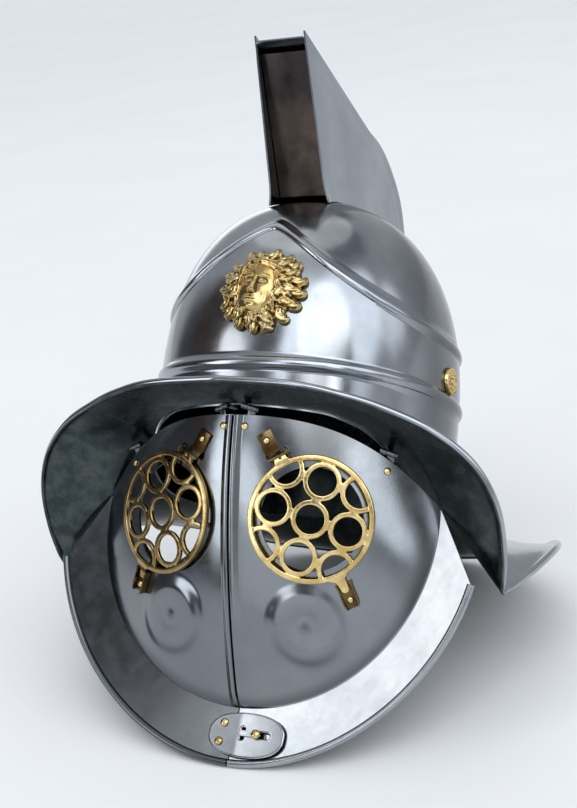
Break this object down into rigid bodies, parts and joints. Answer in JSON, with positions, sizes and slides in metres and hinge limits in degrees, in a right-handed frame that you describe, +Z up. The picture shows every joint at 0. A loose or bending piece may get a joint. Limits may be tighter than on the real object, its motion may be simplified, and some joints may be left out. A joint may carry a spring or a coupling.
{
  "type": "gladiator helmet",
  "caption": "Steel gladiator helmet with brim, neck guard and tall hollow crest; two visor halves with pierced brass eye grilles swing open on brow hinges behind a chin latch.",
  "frame": {"origin": "on the floor, in the middle of the helmet's footprint, where it rests by itself on the tips of the visor's chin flange and the back edge of the neck guard", "axes": "+Z up, -Y the way the face looks, +X the wearer's left; the helmet is tipped back about 32 degrees from its worn position"},
  "size_m": [0.3834, 0.3912, 0.4666],
  "materials": {
    "polished_steel": "mirror polished",
    "polished_brass": "polished"
  },
  "bodies": {
    "shell": {"bowl": "polished_steel", "brim": "polished_steel", "brow_medallion": "polished_brass", "crest_front_panel": "polished_steel", "crest_side_left": "polished_steel", "crest_side_right": "polished_steel", "crest_top_strip": "polished_steel", "ear_rosette_left": "polished_brass", "ear_rosette_right": "polished_brass", "neck_guard": "polished_steel", "visor_lug_centre_left": "polished_steel", "visor_lug_centre_right": "polished_steel", "visor_lug_temple_left": "polished_steel", "visor_lug_temple_right": "polished_steel"},
    "visor_left": {"eye_grille_left": "polished_brass", "grille_clip_left": "polished_brass", "grille_hinge_left": "polished_brass", "grille_ring_left": "polished_brass", "grille_rivet_lower_left": "polished_brass", "grille_rivet_upper_left": "polished_brass", "visor_left": "polished_steel", "visor_rivet_centre_left": "polished_brass", "visor_rivet_temple_left": "polished_brass", "visor_strap_centre_left": "polished_steel", "visor_strap_temple_left": "polished_steel"},
    "visor_right": {"eye_grille_right": "polished_brass", "grille_clip_right": "polished_brass", "grille_hinge_right": "polished_brass", "grille_ring_right": "polished_brass", "grille_rivet_lower_right": "polished_brass", "grille_rivet_upper_right": "polished_brass", "visor_right": "polished_steel", "visor_rivet_centre_right": "polished_brass", "visor_rivet_temple_right": "polished_brass", "visor_strap_centre_right": "polished_steel", "visor_strap_temple_right": "polished_steel", "chin_plate": "polished_steel", "chin_rivet_lower": "polished_brass", "chin_rivet_upper": "polished_brass"},
    "chin_bolt": {"chin_bolt": "polished_steel", "chin_button": "polished_brass"}
  },
  "joints": [
    {"name": "visor_right_hinge", "type": "hinge", "parent": "shell", "child": "visor_right", "pos_m": [-0.0125, -0.09514, 0.2303], "axis": [-0.9003, 0.1842, -0.3945], "range_deg": [0, 60]},
    {"name": "visor_left_hinge", "type": "hinge", "parent": "shell", "child": "visor_left", "pos_m": [0.0125, -0.09514, 0.2303], "axis": [-0.9003, -0.1842, 0.3945], "range_deg": [0, 60]},
    {"name": "chin_bolt_slide", "type": "slide", "parent": "visor_right", "child": "chin_bolt", "axis": [1, 0, 0], "range_m": [0, 0.006]}
  ],
  "couplings": [
    {"joint": "visor_left_hinge", "follows": "visor_right_hinge", "ratio": 1}
  ]
}
